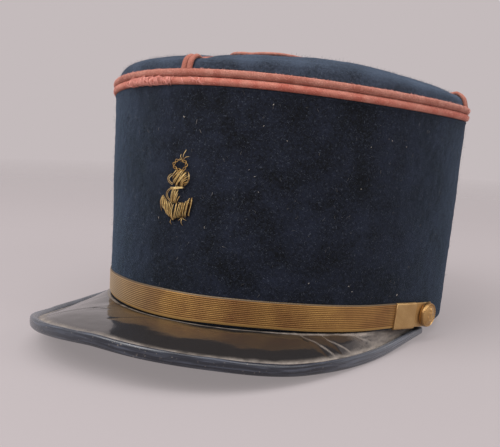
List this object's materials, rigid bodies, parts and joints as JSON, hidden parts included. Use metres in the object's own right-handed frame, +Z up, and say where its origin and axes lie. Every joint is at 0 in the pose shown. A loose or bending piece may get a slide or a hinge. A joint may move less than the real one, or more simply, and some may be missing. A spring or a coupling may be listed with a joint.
{
  "type": "kepi cap",
  "caption": "Stiff navy felt kepi with a domed top, red cords and knot, gold lace chin strap, brass buttons, gold anchor and a patent leather visor.",
  "frame": {"origin": "On the surface that the cap rests on, under the middle of its bounding box", "axes": "+Z up, -Y the way the visor points, +X the wearer's left"},
  "size_m": [0.187, 0.2572, 0.1339],
  "materials": {
    "felt": "near-black navy wool felt, matt, with lint",
    "red_cord": "faded red twisted wool cord",
    "gold_thread": "gold bullion thread, worn",
    "gold_lace": "ribbed gold lace, tarnished",
    "brass": "stamped brass, dull gilt",
    "patent_leather": "black patent leather, cracked and dusty"
  },
  "bodies": {
    "root": {"crown_wall": "felt", "crown_top": "felt", "piping_lower": "red_cord", "piping_upper": "red_cord", "top_knot_cord": "red_cord", "anchor_badge": "gold_thread", "chin_strap": "gold_lace", "strap_slide_left": "gold_lace", "strap_slide_right": "gold_lace", "button_left": "brass", "button_right": "brass", "visor": "patent_leather", "visor_rim": "patent_leather"}
  },
  "joints": []
}
